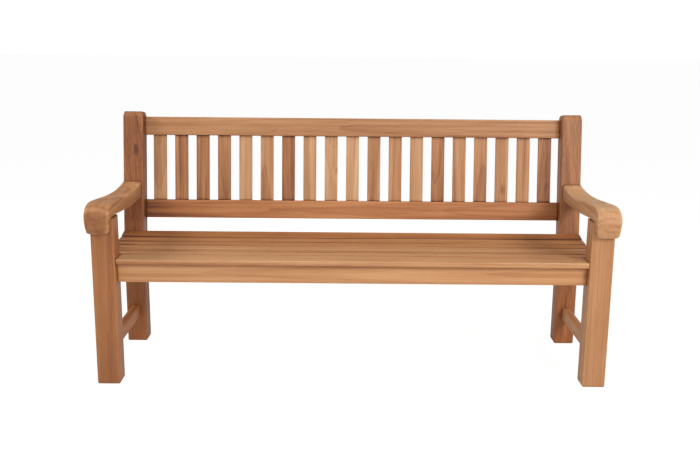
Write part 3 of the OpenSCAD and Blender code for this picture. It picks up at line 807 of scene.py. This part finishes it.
def turned_pegs(name, ends, ways, long, fibre_way=None):
    """Round pegs as one mesh. Each has rings of 20 points round its axis: from the middle of its face out
    to the rim, over a small rounded edge and down its side. The rim and the side carry the joint line.
    The fibres run along each peg unless another way is given."""
    around = np.radians(np.arange(0, 360, 18))
    any_other_way = (0.31, 0.52, 0.79)
    place_in_log = np.array([3.0, 0.07, 0.09])
    radius = peg_radius * np.array([0.05, 0.75, 0.90, 0.98, 1.0, 1.0])
    height = np.array([0.0004, 0.0004, 0.0003, 0.0001, -0.0006, -long])
    dark = np.array([0, 0, 0.25, 0.9, 1.0, 1.0])
    points, faces, joint_dirt_and_shade, fibres = [], [], [], []
    for end, way in zip(ends, ways):
        way = np.array(way) / np.linalg.norm(way)
        first = np.cross(way, any_other_way)
        first /= np.linalg.norm(first)
        second = np.cross(way, first)
        spokes = np.cos(around)[:, None] * first + np.sin(around)[:, None] * second
        rings = np.array(end) + radius[:, None, None] * spokes + height[:, None, None] * way
        tube = closed_tube("one_peg", rings[::-1])
        base = sum(len(part) for part in points)
        corners = np.zeros(len(tube.vertices) * 3)
        tube.vertices.foreach_get("co", corners)
        points.append(corners.reshape(-1, 3))
        faces += [[base + corner for corner in polygon.vertices] for polygon in tube.polygons]
        joint_dirt_and_shade.append(np.repeat(dark[::-1], len(around)))
        fibres.append(np.tile(way if fibre_way is None else fibre_way, (len(points[-1]), 1)))
        bpy.data.meshes.remove(tube)
    mesh = bpy.data.meshes.new(name)
    mesh.from_pydata(np.concatenate(points).tolist(), [], faces)
    mesh.shade_smooth()
    count = len(mesh.vertices)
    paint(mesh, "grain", np.concatenate(points) + place_in_log)
    paint(mesh, "fibre_way", np.concatenate(fibres))
    paint(mesh, "board", np.tile([0.55, 0.6, 1], (count, 1)))
    paint(mesh, "knot", np.tile(no_knot, (count, 1)))
    paint(mesh, "edge", np.zeros(count))
    paint(mesh, "joint_dirt_and_shade", 0.8 * np.concatenate(joint_dirt_and_shade))
    return mesh


def joint_pegs():
    """One peg for each joint, with its face on the outside of the leg, post or arm that it pins."""
    ends, ways = [], []
    for side, sign in (("left", -1), ("right", 1)):
        leg_low, leg_high = box_of("front_leg_" + side)
        post_low, post_high = box_of("back_leg_" + side)
        inner = min(abs(leg_low[0]), abs(leg_high[0]))
        leg_out = max(abs(leg_low[0]), abs(leg_high[0]))
        post_out = max(abs(post_low[0]), abs(post_high[0]))
        arm_out = np.abs([corner[0] for corner in box_of("arm_" + side)]).max()
        rail_z = middle_of("front_seat_rail")[2]
        low_z = middle_of("stretcher_" + side)[2]
        into = inner + half_tenon
        post_back = bend_front[1] + leg_depth
        arm_joint_y = bend_front[1] + (arm_tenon_low - bend_height) * math.tan(lean) + arm_peg_inset
        arm_joint_z = arm_tenon_low + arm_tenon_tall / 2
        sideways = (sign, 0, 0)
        rows = [
            ((sign * into, leg_back_face, rail_z), (0, 1, 0)),
            ((sign * leg_out, leg_back_face - peg_inset, rail_z), sideways),
            ((sign * leg_out, leg_back_face - peg_inset, low_z), sideways),
            ((sign * into, post_back, rail_z), (0, 1, 0)),
            ((sign * post_out, bend_front[1] + peg_inset, rail_z), sideways),
            ((sign * post_out, bend_front[1] + peg_inset, low_z), sideways),
            ((sign * post_out, arm_joint_y, arm_joint_z), sideways),
            ((sign * arm_out, leg_low[1] + leg_depth / 2, leg_height + leg_top_tenon / 2), sideways),
        ]
        for rail in ("lower_back_rail", "top_rail"):
            height = (middle_of(rail) - bend_front) @ up_the_back
            spot = bend_front + height * up_the_back + leg_depth * out_of_the_back
            rows.append(((sign * into, spot[1], spot[2]), out_of_the_back))
        ends += [row[0] for row in rows]
        ways += [row[1] for row in rows]
    mesh = turned_pegs("joint_pegs_teak", ends, ways, peg_long)
    place_piece(mesh, "joint_pegs", teak)


def seat_plugs():
    """One plug over each seat screw, flush with the upper face of its slat."""
    ends, ways = [], []
    for sign in (-1, 1):
        leg_x = middle_of("front_leg_right")[0] * sign
        inner = between_legs("front")[1] * sign
        support_x = middle_of("seat_support_right")[0] * sign
        for x in (inner - front_screw_inset * sign, support_x):
            ends.append((x, middle_of("front_seat_rail")[1], seat_high[2]))
            ways.append((0, 0, 1))
        for number in range(2, 8):
            middle, backwards = slat_plane(number)
            upright = np.cross((1, 0, 0), backwards)
            for x in (leg_x, support_x):
                ends.append(np.array([x, middle[1], middle[2]]) + upright * seat_slat_thick / 2)
                ways.append(upright)
    mesh = turned_pegs("seat_plugs_teak", ends, ways, plug_long, (1, 0, 0))
    place_piece(mesh, "seat_plugs", teak)


joint_pegs()
seat_plugs()


# ---------- Seat screws ----------
# Stainless steel wood screws hold the slats down, with their heads sunk under the plugs. They are the
# CAD's own solids, in bright drawn wire with fine lines round the shank.


def drawn_steel():
    """Bright stainless steel wire: grey, hardly rough, with fine lines from the drawing die."""
    material = bpy.data.materials.new("drawn stainless steel")
    material.use_nodes = True
    tree = material.node_tree
    place = add(tree, "TexCoord").outputs["Object"]
    lines = add(tree, "VectorMath", {0: place, 1: (300.0, 300.0, 4000.0)}, operation="MULTIPLY").outputs[0]
    scratch = add(tree, "TexNoise", {"Vector": lines, "Scale": 1.0, "Detail": 2.0}).outputs["Fac"]
    rough = add(tree, "MapRange", {"Value": scratch, "To Min": 0.22, "To Max": 0.38}).outputs["Result"]
    tint = add(tree, "MixRGB", {"Fac": scratch, "Color1": linear("b9bbbd"), "Color2": linear("cfd1d3")})
    bump = add(tree, "Bump", {"Height": scratch, "Strength": 0.2, "Distance": 0.0001})
    shader = tree.nodes["Principled BSDF"]
    shader.inputs["Metallic"].default_value = 1.0
    tree.links.new(tint.outputs[0], shader.inputs["Base Color"])
    tree.links.new(rough, shader.inputs["Roughness"])
    tree.links.new(bump.outputs[0], shader.inputs["Normal"])
    return material


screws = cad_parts["seat_screws"]
steel = drawn_steel()
for slot in screws.material_slots:
    slot.material = steel
